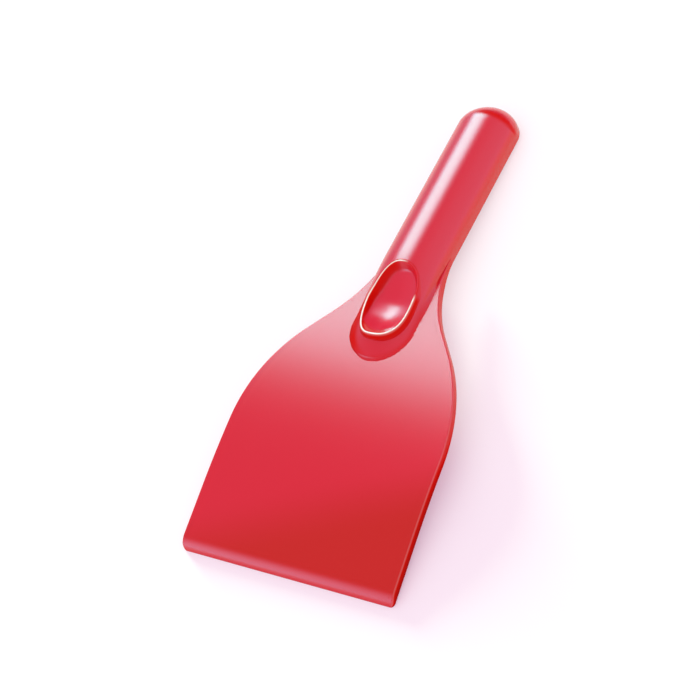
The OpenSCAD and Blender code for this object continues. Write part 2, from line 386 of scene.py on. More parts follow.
def smooth_step(share):
    """Nought to one with a level start and a level end: 3t^2 - 2t^3."""
    share = np.clip(share, 0, 1)
    return share * share * (3 - 2 * share)


def slab(face, back, wrap=False):
    """A face grid and a back grid of one shape, joined along their borders. wrap: columns run all round."""
    if wrap:
        face = np.concatenate([face, face[:, :1]], axis=1)
        back = np.concatenate([back, back[:, :1]], axis=1)
    strips = [np.stack([face[0], back[0]]), np.stack([face[-1], back[-1]])]
    if not wrap:
        strips += [np.stack([face[:, 0], back[:, 0]]), np.stack([face[:, -1], back[:, -1]])]
    return [face, back, *strips]


def loop(sections):
    """A closed section, one row of points each, carried along a path: the last point joins the first."""
    return [np.concatenate([sections, sections[:, :1]], axis=1)]


# %% [markdown]
# ## The blade
#
# The blade is a fan-shaped plate. Seen from the side its front face is flat, then an arc of large radius,
# then flat again, and at the scraping edge it rolls over to the back. A modifier could bend a flat plate,
# but its thickness would suffer. Here a face is a height over the plan length, and every face of the
# plate is an arc about the same centre.

# %% Heights of the blade's faces over a plan length
def sheet_height(s, over_back):
    """Height of the bent plate at plan length s: level, then an arc about the bend's centre, then a slope."""
    r = bend_r + over_back
    arc = -bend_r + np.sqrt(np.maximum(r * r - (s - bend_start) ** 2, 0))
    along = (s - flat_start - over_back * math.sin(bend_angle)) / math.cos(bend_angle)
    slope = -flat_drop - along * math.sin(bend_angle) + over_back * math.cos(bend_angle)
    bent = np.where(s < bend_start + r * math.sin(bend_angle), arc, slope)
    return np.where(s < bend_start, over_back, bent)


def back_height(s):
    """Height of the back face: the underside of the plate."""
    return sheet_height(s, 0)


def on_flat_s(along, over_back):
    """Plan length of a point on the flat end, a length along it and a height over its back."""
    return flat_start + along * math.cos(bend_angle) + over_back * math.sin(bend_angle)


# %% The roll down to the scraping edge
edge_land = 0.3
roll_angle = math.asin((edge_roll_r - edge_depth) / edge_roll_r)
roll_start = flat_l - edge_roll_r * math.cos(roll_angle)
roll_under = edge_depth - edge_roll_r
roll_s = on_flat_s(roll_start, roll_under)
roll_z = -flat_drop - roll_start * math.sin(bend_angle) + roll_under * math.cos(bend_angle)
roll_from_s = roll_s + edge_roll_r * math.sin(bend_angle)


def front_height(s):
    """Height of the front face: the plate at full depth, then a roll of one radius down to a blunt land."""
    rolled = roll_z + np.sqrt(np.maximum(edge_roll_r ** 2 - (s - roll_s) ** 2, 0))
    face = np.where(s > roll_from_s, rolled, sheet_height(s, edge_depth))
    return np.maximum(face, back_height(s) + edge_land)


print("front face at the neck and at the edge, in mm:", front_height(np.array([90.0, overall_l])).round(2))

# %% [markdown]
# ### The outline
#
# Seen from above the side of the blade is a concave neck arc, a convex shoulder arc, a straight side and
# a small corner. The two arcs touch, and the slope there follows from the distance between their centres.
# Where they are too large for the room between handle and side, both become smaller by one share. A
# spline could give the same line, but an arc that is set in only changes its radius, so a line set in has
# as many points as the outline, and a strip between two such lines is a plain grid. The line starts a
# little down the neck arc, where the rim has come clear of the handle.

# %% Where the two arcs of the side meet
shoulder_end = overall_l - side_l
shoulder_x = half_w - side_l * math.tan(side_flare)
room_for_arcs = np.array([shoulder_x - half_h, shoulder_end - neck_start])
largest_sum = (room_for_arcs @ room_for_arcs) / (2 * room_for_arcs[0])
fit = min(1, fit_margin * largest_sum / (shoulder_r + neck_r))
r_neck, r_shoulder = neck_r * fit, shoulder_r * fit

neck_c = np.array([half_h + r_neck, neck_start])
shoulder_c = np.array([
    shoulder_x - r_shoulder * math.cos(side_flare),
    shoulder_end + r_shoulder * math.sin(side_flare),
])
link = shoulder_c - neck_c
slope = math.atan2(link[1], -link[0]) - math.acos(min(1, (r_neck + r_shoulder) / math.hypot(*link)))
rim_lead = 3.0
first_turn = math.asin(rim_lead / r_neck)
print("outline radii", round(r_neck, 2), round(r_shoulder, 2), "slope", round(math.degrees(slope), 1))

# %% The outline of the right side
arc_points, straight_points, corner_points = 60, 44, 16


def plan_arc(centre, radius, turn):
    """Points of a circle in plan: the radius along (cos, -sin) of the turn. A negative one is concave."""
    return together(centre[0] + radius * np.cos(turn), centre[1] - radius * np.sin(turn))


def side_line(inset):
    """Plan points, x and s, of the right side set in by a distance: two arcs, a straight, and a corner."""
    neck = plan_arc(neck_c, -(r_neck + inset), np.linspace(first_turn, slope, arc_points))
    turn = np.linspace(slope, side_flare, arc_points)[1:]
    shoulder = plan_arc(shoulder_c, r_shoulder - inset, turn)
    side_x, corner_s = half_w - inset / math.cos(side_flare), overall_l - corner_r
    share = np.linspace(0, 1, straight_points)[1:, None]
    straight_end = np.array([side_x - corner_r * math.tan(side_flare), corner_s])
    straight = shoulder[-1] * (1 - share) + straight_end * share
    if inset == 0:
        centre_x = side_x - corner_r / math.cos(side_flare) - corner_r * math.tan(side_flare)
        turn = np.linspace(side_flare, -math.pi / 2, corner_points)[1:]
        corner = plan_arc([centre_x, corner_s], corner_r, turn)
    else:
        share = np.linspace(0, 1, corner_points)[1:]
        corner = together(side_x, corner_s + corner_r * share)
    return np.concatenate([neck, shoulder, straight, corner])


print("points of the side:", len(side_line(0)), "widest at x =", side_line(0)[:, 0].max().round(2), "mm")

# %% [markdown]
# ### The side rims
#
# A rim is the full-thickness wall down each side, which keeps the blade stiff. It is one section carried
# along the outline: the front face, a small radius where the halves of the mould meet, the wall, a
# smaller radius, and the back face. A Bevel modifier would round these edges too, but with the radii in
# the section the marks follow them exactly. The wall is painted deep red with less shine, a painted glow
# of light through it, more so towards the scraping edge, with painted shade at its foot, and a painted
# highlight shows as a fine light line along the rounded edge.

# %% The section of a rim
rim_round, most_of_height, most_of_width = 0.7, 0.45, 0.6
back_round, back_most = 0.35, 0.3
rim_steps, quarter = 6, np.linspace(0, math.pi / 2, 9)


def rim_section(width, height):
    """How far in from the outline each point lies, and how far off its face: the front runs out from the
    inner line and over a quarter circle, the back from a quarter circle at the wall's foot to the inner
    line. Neither radius is more than its share of the height and of the width."""
    r = np.minimum(np.minimum(rim_round, most_of_height * height), most_of_width * width)
    r_back = np.minimum(np.minimum(back_round, back_most * height), back_most * width)
    level = np.linspace(0, 1, rim_steps + 1)
    front_in = (width - r) * (1 - level[:-1]) + r
    back_in = r_back + (width - r_back) * level[1:]
    front = np.concatenate([front_in, r * (1 - np.sin(quarter))], axis=1)
    back = np.concatenate([r_back * (1 - np.cos(quarter)), back_in], axis=1)
    drop = np.concatenate([0 * front_in, -r * (1 - np.cos(quarter))], axis=1)
    rise = np.concatenate([r_back * (1 - np.sin(quarter)), 0 * back_in], axis=1)
    return front, back, drop, rise


# %% The rims
# Painted light on the rims: where the painted glow starts and fades, how much painted shade lies at the
# wall's foot, where the glow deepens towards the scraping edge, its least share, and how strong the painted
# highlight along the edge is.
glow_s, glow_fade, foot_shade = 76.0, 14.0, 0.7
deep_s, deep_fade, least_glow, edge_highlight = 130.0, 50.0, 0.45, 0.08
tuck_h, tuck_l = 0.9, 14.0

# Along the section: painted glow up the wall, past one at its foot for painted shade, and the painted
# highlight on the rounded edge.
flat_part = np.zeros(rim_steps)
down_wall = 1 + foot_shade * np.cos(quarter) ** 2
on_wall = np.concatenate([flat_part, np.sin(quarter) ** 4, down_wall, flat_part])
on_edge = np.concatenate([flat_part, np.sin(2 * quarter) ** 2, 0 * quarter, flat_part])


def rim_sheet(mirror):
    """The section carried along the outline. Its back is lifted where it starts, so that the rim's end is
    tucked in under the handle's rounded bottom edge."""
    outer, inner = side_line(0), side_line(rim_w)
    inner[:, 0] = np.where(inner[:, 1] < handle_l, np.maximum(inner[:, 0], half_h), inner[:, 0])
    across = outer - inner
    width = np.hypot(*across.T)[:, None]
    height = (front_height(outer[:, 1]) - back_height(outer[:, 1]))[:, None]
    front, back, drop, rise = rim_section(width, height)

    share = 1 - np.concatenate([front, back], axis=1) / width
    plan = inner[:, None] + share[..., None] * across[:, None]
    s, turns = plan[..., 1], front.shape[1]
    tuck = tuck_h * (1 - smooth_step((s - neck_start - rim_lead) / tuck_l))
    top, under = front_height(s[:, :turns]) + drop, (back_height(s) + tuck)[:, turns:] + rise

    # The marks: painted glow and shade on the wall, and the painted highlight along the edge.
    start = smooth_step((outer[:, 1:] - glow_s) / glow_fade)
    deeper = start * (least_glow + (1 - least_glow) * smooth_step((outer[:, 1:] - deep_s) / deep_fade))
    sheet = together(mirror * plan[..., 0], -s, np.concatenate([top, under], axis=1))
    return marked(sheet, deeper * on_wall, edge_highlight * start * on_edge)


right_rim = solid("right_side_rim_skin", loop(rim_sheet(1)))
left_rim = solid("left_side_rim_skin", loop(rim_sheet(-1)))
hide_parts("right_side_rim")
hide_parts("left_side_rim")

# %% [markdown]
# ### The panel
#
# The panel fills the fan inside the rims. It is thinner than they are, with its back standing in, so that
# the wide face cools evenly and stays flat. A plain grid cut to the outline would leave ragged edges, so
# straight rays run in plan from the U of the handle's foot to the line of the rims, and are lifted onto
# the bent face.

# %% The two borders of the panel
side_rays, nose_rays, panel_rows = 90, 80, 70


def foot_line(s_first):
    """The U of the handle's foot in plan: down the left side, round the nose, up the right side."""
    s = np.linspace(s_first, nose_mid, side_rays)
    turn = np.linspace(0, math.pi, nose_rays + 2)[1:-1]
    left = together(-half_h, s)
    nose = together(-half_h * np.cos(turn), nose_mid + half_h * np.sin(turn))
    return np.concatenate([left, nose, (left * [-1, 1])[::-1]])


def rim_line(end_s):
    """The rims' inner line and the line behind the scraping edge, with as many points as the foot's U."""
    line = side_line(rim_w)
    line = line[(line[:, 0] > half_h) & (line[:, 1] < end_s)]
    line = np.concatenate([line, [[half_w - rim_w / math.cos(side_flare), end_s]]])
    length = np.concatenate([[0], np.cumsum(np.hypot(*np.diff(line, axis=0).T))])
    even = np.linspace(0, length[-1], side_rays)
    right_side = together(np.interp(even, length, line[:, 0]), np.interp(even, length, line[:, 1]))
    x = np.linspace(-right_side[-1, 0], right_side[-1, 0], nose_rays + 2)[1:-1]
    return np.concatenate([right_side * [-1, 1], together(x, end_s), right_side[::-1]])


# %% The panel
band_start = flat_l - edge_band_l
panel_low = edge_depth - panel_t


def panel_grid(end_s, height):
    """Rays from the foot's U to the rim line: start plus share times the way, with a height over each."""
    outer = rim_line(end_s)
    inner = foot_line(outer[0, 1])
    share = np.linspace(0, 1, panel_rows)[:, None, None]
    plan = inner + share * (outer - inner)
    return together(plan[..., 0], -plan[..., 1], height(plan[..., 1]))


panel = solid("blade_panel_skin", slab(
    panel_grid(on_flat_s(band_start, edge_depth), front_height),
    panel_grid(on_flat_s(band_start, panel_low), lambda s: sheet_height(s, panel_low)),
))
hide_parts("blade_panel")

# %% [markdown]
# ### The scraping edge
#
# Behind the edge the blade keeps its full thickness, so that it doesn't flex on the ice, and its front
# rolls over to a blunt land. The band is straight across, so its side view is carried from one rim to the
# other, as an extrusion would.

# %% The scraping edge
face_steps, roll_steps, back_steps, band_stations = 12, 26, 16, 24


def edge_band():
    """The side view of the band as a closed loop: front face with its roll, blunt land, and back face."""
    tip_turn = math.asin((overall_l - roll_s) / edge_roll_r)
    s_face = np.linspace(on_flat_s(band_start, edge_depth), roll_from_s, face_steps)[:-1]
    s_roll = roll_s + edge_roll_r * np.sin(np.linspace(bend_angle, tip_turn, roll_steps))
    s_front = np.concatenate([s_face, s_roll])
    s_back = np.linspace(overall_l, on_flat_s(band_start, 0), back_steps)
    s = np.concatenate([s_front, s_back])
    z = np.concatenate([front_height(s_front), back_height(s_back)])
    band_half = half_w - rim_w / math.cos(side_flare)
    x = np.linspace(-band_half, band_half, band_stations)[:, None]
    return together(x, -s, z)


edge_skin = solid("scraping_edge_skin", loop(edge_band()))
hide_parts("scraping_edge")

# %% [markdown]
# ## The handle
#
# The handle is a hollow half-round: an upright wall as deep as the blade, with half an ellipse over it,
# open at the back so that the mould's core can be drawn out. The mould leaves a small radius along its
# bottom edge. Half a cylinder, scaled, has no upright wall, so the section is drawn as one line and
# carried along. The inside is the same line drawn in by the wall.

# %% The handle's cross-section
bottom_round = 1.2
corner_steps, wall_steps, dome_steps = 7, 5, 49


def half_profile(width, height, rounding):
    """From the base to the crest: a quarter circle, a straight wall, and a quarter of an ellipse. The
    first column is the distance from the middle, and the second the height."""
    turn = np.linspace(math.pi / 2, 0, corner_steps)
    corner = together(width - rounding + rounding * np.cos(turn), rounding - rounding * np.sin(turn))
    wall = together(width, np.linspace(rounding, edge_depth, wall_steps)[1:])
    turn = np.linspace(0, math.pi / 2, dome_steps)[1:]
    dome = together(width * np.cos(turn), edge_depth + height * np.sin(turn))
    return np.concatenate([corner, wall, dome])


outer_profile = half_profile(half_h, dome_h, bottom_round)
inner_profile = half_profile(half_h - handle_wall, dome_h - handle_wall, 0.0)
print("points of the half section:", len(outer_profile), "height in mm:", outer_profile[-1, 1].round(2))


# %% The grip
def straight(profile, s):
    """The half profile and its mirror image as one line, carried straight along the handle."""
    section = np.concatenate([profile, (profile * [-1, 1])[-2::-1]])
    return together(section[:, 0], -s[:, None], section[:, 1])


grip_stations = 30
stations = np.linspace(cap_l, crest_flat, grip_stations)
grip_sheets = slab(straight(outer_profile, stations), straight(inner_profile, stations))
grip = solid("handle_grip_skin", grip_sheets)
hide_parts("handle_grip")

# %% [markdown]
# The end of the handle is the same section turned through half a circle about an upright line, and
# squashed a little along the handle. A Screw modifier turns a section too, but only to a circle. A band
# on the low side of the end, an arc a few millimetres past the joint, is painted deep red with less
# shine: painted shade, a dark reflection.

# %% The rounded end of the handle
# The band of painted shade: its line past the joint, its fades, the side it lies on, its strength and its
# rise.
arc_past = 4.0
arc_outer_fade, arc_inner_fade, arc_core = 1.3, 2.8, 1.1
low_from_x, low_fade, painted_end_band = -6.0, 6.0, 0.85
glow_from_z, glow_rise, end_turns = 2.0, 4.0, 97


def end_mark(across, past, z):
    """The painted band of shade about the line that lies arc_past times the root of 1 - (x / half width)^2
    past the joint.
    """
    line = arc_past * np.sqrt(np.maximum(1 - (across / half_h) ** 2, 0))
    off_line = past - line
    band = smooth_step(arc_core - np.maximum(off_line / arc_outer_fade, -off_line / arc_inner_fade))
    low_side = smooth_step((across - low_from_x) / low_fade)
    return painted_end_band * band * low_side * smooth_step((z - glow_from_z) / glow_rise)


def rounded_end(profile, length):
    """The half section turned: the share of the width times cosine and sine, the latter scaled in length."""
    turn = np.linspace(0, math.pi, end_turns)[:, None]
    off_middle, z = profile[:, 0], profile[:, 1]
    across = off_middle * np.cos(turn)
    past = off_middle * np.sin(turn) * length / off_middle.max()
    return marked(together(across, past - cap_l, z), end_mark(across, past, z))


end_sheets = slab(rounded_end(outer_profile, cap_l), rounded_end(inner_profile, cap_l - handle_wall))
cap = solid("handle_end_cap_skin", end_sheets)
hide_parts("handle_end_cap")

# %% [markdown]
# ## The thumb rest
#
# The crest of the handle slopes down from the grip to a rounded nose on the blade. A dish is sunk into
# the slope for the thumb, with a raised rim round it. A Boolean cut would leave long thin faces, which
# show as creases in a glossy finish. So housing, rim and dish are three solids on rays from one centre:
# each ray crosses dish, rim and slope in turn, and neighbours share their points. The moulding isn't
# quite even, so the dish stands half a millimetre to the right.

# %% Sizes of the thumb rest, in millimetres
dish_mid_x, dish_mid_s, dish_half_l, dish_half_w = 0.5, 101.7, 16.8, 10.7
rim_low_z, rim_low_s, rim_tilt, rim_crown, rim_lift = 9.1, 117.7, 0.1118, 2.35, 0.6
dish_wall, land_w = 1.6, 0.8
slope_ease = 14.0
round_from, round_fade, round_loss = 94.0, 24.0, 0.85


# %% The outside of the housing
def crest_dome(s):
    """Height of the dome over the wall: level at the grip, a parabola over the ease, then a straight
    slope down to the nose."""
    run = nose_mid - crest_flat
    fall = (dome_h - nose_dome_h) / (run - slope_ease / 2)
    past = np.clip(s - crest_flat, 0, run)
    eased = np.where(past < slope_ease, past ** 2 / (2 * slope_ease), past - slope_ease / 2)
    return dome_h - fall * eased


def roundness(s):
    """Power of the section: 2 is an ellipse at the grip, and the nose is nearly a straight slope."""
    return 2 - round_loss * smooth_step((s - round_from) / round_fade)


def dome_height(x, s):
    """Height of the housing over a plan point: the wall, plus the crest times the power's root of
    1 - q^power, where q is the distance from the middle line or the nose's centre over the half width."""
    q = np.clip(np.hypot(x, np.maximum(s - nose_mid, 0)) / half_h, 0, 1)
    power = roundness(s)
    return edge_depth + crest_dome(s) * np.maximum(1 - q ** power, 0) ** (1 / power)


crest_ends = dome_height(np.zeros(2), np.array([crest_flat, nose_mid]))
print("crest at the grip and at the nose in mm:", crest_ends.round(2))

# %% [markdown]
# The housing's edge in plan decides where the rays go: down the right side, round the nose, up the left
# side and back across at the grip's end. It lies outside the half width by a share that stands for the
# wall: past the half width a ray doesn't go further out but down the upright wall. The rim's line is a
# superellipse about the dish's centre, fuller on the right and at the nose, and drawn in a little at its
# upper left.

# %% The rays and the line along the top of the rim
wall_share = 0.16
columns_side, columns_nose, columns_arch = 56, 72, 72


def outer_loop():
    """The housing's edge in plan, as many points as there are rays."""
    w = half_h * (1 + wall_share)
    s = np.linspace(crest_flat, nose_mid, columns_side, endpoint=False)
    turn = np.linspace(0, math.pi, columns_nose, endpoint=False)
    sweep = np.linspace(-math.pi / 2, math.pi / 2, columns_arch, endpoint=False)
    right_side, left_side = together(w, s), together(-w, nose_mid + crest_flat - s)
    nose = together(w * np.cos(turn), nose_mid + w * np.sin(turn))
    arch = together(w * np.sin(sweep), crest_flat)
    return np.concatenate([right_side, nose, left_side, arch])


edge_loop = outer_loop()
bearing = np.arctan2(edge_loop[:, 1] - dish_mid_s, edge_loop[:, 0] - dish_mid_x)
to_right, lower = np.cos(bearing), np.sin(bearing)


def off_bearing(degrees):
    """The angle from each ray to a bearing, in degrees, from nought to 180."""
    return np.abs((np.degrees(bearing) - degrees + 180) % 360 - 180)


# %% The rim's line
rim_power, fuller_low, fuller_right = 2.35, 0.12, 0.42
shorter_top, longer_low = 0.4, 0.3
pull_bearing, pull_reach, pull_mm = -128, 62, 0.75


def rim_plan(grow):
    """The rim's line in plan, a superellipse grown outwards by a distance: one over the power's root of
    (cos / half width)^power + (sin / half length)^power. A cosine bump draws its upper left corner in."""
    power = rim_power + fuller_low * lower + fuller_right * to_right
    half_l = dish_half_l - shorter_top * np.maximum(-lower, 0) ** 2 + longer_low * np.maximum(lower, 0) ** 2
    across, along = np.abs(to_right) / (dish_half_w + grow), np.abs(lower) / (half_l + grow)
    r = (across ** power + along ** power) ** (-1 / power)
    off_corner = np.minimum(off_bearing(pull_bearing) / pull_reach, 1)
    r = r - pull_mm * (1 + np.cos(math.pi * off_corner)) / 2
    return together(dish_mid_x + r * to_right, dish_mid_s + r * lower)


def rim_height(x, s):
    """Height of the rim's top: a straight tilt, less a parabola across, plus a parabola near the grip."""
    towards_grip = np.clip((dish_mid_s - s) / dish_half_l, 0, 1)
    sag = rim_crown * ((x - dish_mid_x) / dish_half_w) ** 2
    return rim_low_z + rim_tilt * (rim_low_s - s) - sag + rim_lift * towards_grip ** 2


least_rise = 0.05
top = rim_plan(0)
top_z = np.maximum(rim_height(*top.T), dome_height(*top.T) + least_rise)
print("rays:", len(top), "rim's box in mm:", np.ptp(top, axis=0).round(1))

# %% [markdown]
# The rim's outer side, its skirt, leans out to the slope. How wide it is depends on how high it is, and
# how high on how far out it ends, so a few rounds of halving the error settle both.

# %% Where the skirt of the rim meets the slope
lean_at_ends, lean_at_sides = 0.40, 0.65
skirt_least, skirt_most, first_guess, rounds = 0.25, 1.2, 0.6, 12

skirt_lean = lean_at_ends + (lean_at_sides - lean_at_ends) * to_right ** 2
skirt = np.full(len(top), first_guess)
for _ in range(rounds):
    wanted = skirt_lean * (top_z - dome_height(*rim_plan(skirt).T))
    skirt = 0.5 * skirt + 0.5 * np.clip(wanted, skirt_least, skirt_most)
foot = rim_plan(skirt)
foot_z = dome_height(*foot.T)
print("width of the skirt from", skirt.min().round(2), "to", skirt.max().round(2), "mm")

# %% [markdown]
# ### The housing
#
# Each ray runs from the rim's foot over the slope and down the wall. Where the wall meets the blade the
# mould has a small fillet, a quarter circle that stands out over the blade's face. The foot of that wall
# is painted deep red with less shine, a painted glow: strong and wide on the left, faint round the nose
# and on the right.

# %% The fillet and the painted glow at the foot of the wall
fillet_r, fillet_from, fillet_fade = 1.7, 84.0, 14.0
least_fillet, side_fade = 0.02, 1.4
# How strong and how wide the painted glow is round the nose, on the left and on the right.
nose_glow, left_glow, left_gain, right_glow = 0.3, 0.7, 1.3, 0.25
glow_start, glow_width, left_reach, left_softer = 0.90, 0.13, 0.34, 0.10
foot_from, foot_fade = 92.0, 14.0
tiny = 1e-6


def fillet_push(side, s, z, on_wall):
    """How far the wall stands out: reach times 1 - root of (1 - over^2), over being nought at its top."""
    reach = fillet_r * smooth_step((s - fillet_from) / fillet_fade)
    reach = reach * (least_fillet + smooth_step((side + 1) / side_fade))
    over = np.clip(1 - (z - front_height(s)) / np.maximum(reach, tiny), 0, 1)
    return reach * (1 - np.sqrt(1 - over * over)) * on_wall


def painted_foot_glow(q, side, s):
    """The painted glow: an amount by side, times a step in q, times a step along the handle."""
    left, to_its_right = np.maximum(-side, 0), np.maximum(side, 0)
    amount = nose_glow + left_glow * smooth_step(left * left_gain) + right_glow * to_its_right
    band = smooth_step((q - glow_start + left_reach * left) / (glow_width + left_softer * left))
    return amount * band * smooth_step((s - foot_from) / foot_fade)


# %% The housing's rays
housing_rows, closer_first, wall_from_q = 44, 1.7, 0.8


def housing_grid(start, start_z, edge, width, height_of, filleted):
    """Rays from the rim's foot to the housing's edge. q is the distance from the middle over the width:
    up to one the height is the slope's, and past it the point stays at one and runs down the wall."""
    share = 1 - (1 - np.linspace(0, 1, housing_rows)) ** closer_first
    plan = start + share[:, None, None] * (edge - start)
    x, s = plan[..., 0], plan[..., 1]
    past_nose = np.maximum(s - nose_mid, 0)
    off_middle = np.maximum(np.hypot(x, past_nose), tiny)
    q, side, ahead = off_middle / width, x / off_middle, past_nose / off_middle
    squeeze = np.where(q > 1, 1 / np.maximum(q, tiny), 1)
    x_on, s_on = x * squeeze, np.minimum(s, nose_mid) + past_nose * squeeze
    z = np.where(q > 1, edge_depth * (1 - (q - 1) / wall_share), height_of(x_on, s_on))
    z[0] = start_z
    if filleted:
        push = fillet_push(side, s_on, z, q > wall_from_q)
        x_on, s_on = x_on + push * side, s_on + push * ahead
    return marked(together(x_on, -s_on, np.maximum(z, 0)), painted_foot_glow(q, side, s))


# %% [markdown]
# The housing is hollow like the handle. Its roof is the outside drawn in by the wall, and it ends on the
# underside of the dish's cup, a little outside the rim's line.

# %% The housing
inner_w = half_h - handle_wall
cup_grow, cup_clear = 0.2, 0.3


def inner_height(x, s):
    """Height of the hollow's roof: the wall, plus the crest less its thickness times root of 1 - q^2."""
    q = np.clip(np.hypot(x, np.maximum(s - nose_mid, 0)) / inner_w, 0, 1)
    return edge_depth + (crest_dome(s) - handle_wall) * np.sqrt(1 - q * q)


past = np.maximum(edge_loop[:, 1] - nose_mid, 0)
inner_s = np.minimum(edge_loop[:, 1], nose_mid) + past * inner_w / half_h
inner_loop = together(edge_loop[:, 0] * inner_w / half_h, inner_s)
cup_line = rim_plan(cup_grow)
cup_line[:, 0] = np.clip(cup_line[:, 0], cup_clear - inner_w, inner_w - cup_clear)
cup_z = inner_height(*cup_line.T)

outer_skin = housing_grid(foot, foot_z, edge_loop, half_h, dome_height, True)
inner_skin = housing_grid(cup_line, cup_z, inner_loop, inner_w, inner_height, False)
housing = solid("thumb_housing_skin", slab(outer_skin, inner_skin, wrap=True))
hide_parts("thumb_housing")

# %% [markdown]
# ### The dish
#
# The hollow for the thumb is a spoon-shaped floor inside a steep wall that comes down from the rim. The
# floor is a hyperbola across plus one along, round at its lowest point, nearly straight further out, and
# held down just under the rim. The higher of wall and floor is the surface. The root of a square plus a
# small square rounds the corner between them over half a millimetre, without a seam.
#
# The wall is painted deep red with less shine, a painted glow of light through it, on the left and at
# both ends. The floor is painted a brighter red, painted light that makes up for the shade of the walls.

# %% The floor of the dish and how it meets the wall
centre, floor_z = np.array([0.9, 103.2]), 3.8
across_r, across_slope, along_r, along_slope = 16.5, 0.27, 15.5, 0.75
wall_slope, corner_blend, under_rim_mm = math.tan(math.radians(67)), 0.5, 0.35
edge_drop = 0.15
inner_edge_z = top_z - edge_drop


def smooth_top(one, other):
    """The higher of two heights with a rounded corner, (a + b + root((a - b)^2 + blend^2)) / 2, and how
    much of it is the other."""
    root = np.sqrt((one - other) ** 2 + corner_blend * corner_blend)
    return (one + other + root) / 2, (1 + (other - one) / root) / 2


def bowl(distance, radius, slope):
    """A hyperbola: round with a radius at the bottom, and nearly straight at a slope further out."""
    width = slope * radius
    return slope * width * (np.sqrt(1 + (distance / width) ** 2) - 1)


left_until, left_fade = 0.12, 0.35
ends_until, ends_fade, ends_gain = 0.6, 0.4, 1.8
top_from, top_fade, top_amount = 0.6, 0.3, 0.4


def painted_wall_glow(on_wall, under_rim):
    """How far the dish is painted deep red, a painted glow: the most of its left wall, what lies close under
    the rim, and its top wall, each a smooth step in the cosine or the sine of the ray's bearing."""
    left_wall = on_wall * smooth_step((left_until - to_right) / left_fade)
    ends = smooth_step(ends_gain * under_rim) * smooth_step((ends_until - to_right) / ends_fade)
    top_wall = top_amount * on_wall * smooth_step((-lower - top_from) / top_fade)
    return np.maximum(np.maximum(left_wall, ends), top_wall)


# %% The dish
floor_shares, wall_shares = np.linspace(0, 0.64, 18), np.linspace(0.66, 1, 35)
shares = np.concatenate([floor_shares, wall_shares])[:, None]
ring_from, cup_thicker = 46, 0.6


def dish_surface(grow, drop):
    """Rays from the lowest point to the rim. The wall is straight up to the rim's inner edge, so its
    height follows from the distance to the edge's tangent: one less the share, times the centre's."""
    edge = rim_plan(grow - land_w)
    along = np.roll(edge, -1, axis=0) - np.roll(edge, 1, axis=0)
    outward = together(along[:, 1], -along[:, 0]) / np.hypot(*along.T)[:, None]
    reach = np.abs(((edge - centre) * outward).sum(axis=1))
    plan = centre + shares[..., None] * (edge - centre)
    x, s = plan[..., 0], plan[..., 1]
    spoon = floor_z + bowl(x - centre[0], across_r, across_slope) + bowl(s - centre[1], along_r, along_slope)
    held_down, under_rim = smooth_top(-spoon, under_rim_mm - inner_edge_z)
    wall = inner_edge_z - (1 - shares) * reach * wall_slope
    z, on_wall = smooth_top(-held_down, wall)
    z[0] = z[0].mean()
    red = painted_wall_glow(on_wall, under_rim)
    # Marks: the painted glow of the wall, and painted light on the floor against the shade of the walls.
    return marked(together(x, -s, z - drop), red, 0.0, (1 - on_wall) * (1 - red))


hollow = dish_surface(0, 0)
dish_face, ring_face = hollow[:ring_from], hollow[ring_from - 1:]
dish_back = dish_surface(cup_thicker, dish_wall)[:ring_from]
face, under, _, border = slab(dish_face, dish_back, wrap=True)
dish = solid("thumb_dish_skin", [face, under, border])
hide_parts("thumb_dish")

# %% [markdown]
# ### The rim
#
# The rim is one closed section carried all round: up the last of the dish's wall, over a rounded land
# less than a millimetre wide, down the skirt, and back below. A curve with a bevel has one height and one
# width, but this rim leans and thins, so each of its lines follows the rays at its own height. Its top
# has a painted highlight, a pale line, except for a gap on the upper right, and its sides a painted glow.

# %% One line of the rim, all round
# Where the crest's painted highlight has its gap, and how much weaker the painted glow on the skirt is there.
gap_bearing, gap_half, gap_fade, gap_shade = -50, 28, 14, 0.45
lit_crest = smooth_step((off_bearing(gap_bearing) - gap_half) / gap_fade)


def ring_line(grow, z, through, crest=0.0):
    """One line of the rim, with its marks: how much painted glow, and how strong the crest's painted
    highlight is.
    """
    plan = rim_plan(grow)
    return together(plan[:, 0], -plan[:, 1], z, through, crest * lit_crest, 0.0)


# %% The section of the rim
# Over the land: share of its width in from the outer line, height over the top, painted glow, and painted
# highlight.
land_lines = [
    (1.0, -edge_drop, 1.0, 0.0),
    (0.8, -0.03, 0.5, 1.0),
    (0.5, 0.02, 0.0, 1.0),
    (0.2, -0.03, 0.3, 1.0),
    (0.0, -edge_drop, 0.8, 0.2),
]
# Down the skirt: share of its width, share of its height, how far it is sunk, and painted glow.
skirt_lines = [(0.33, 0.30, 0.05, 1.0), (0.66, 0.65, 0.08, 1.0), (1.0, 1.0, 0.0, 0.7)]
under_foot, under_land, land_inset = 0.8, 0.4, 0.15

shade = gap_shade + (1 - gap_shade) * lit_crest
land = [ring_line(-share * land_w, top_z + rise, light, pale) for share, rise, light, pale in land_lines]
outer_side = [ring_line(out * skirt, top_z * (1 - down) + foot_z * down - sunk, light * shade)
              for out, down, sunk, light in skirt_lines]
below = [
    ring_line(skirt, foot_z - under_foot, 0.0),
    ring_line(-land_inset, ring_face[0][:, 2] - under_land, 0.0),
]
sections = np.stack([*ring_face[:-1], *land, *outer_side, *below], axis=1)
ring = solid("thumb_rim_skin", loop(np.concatenate([sections, sections[:1]])))
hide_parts("thumb_rim")

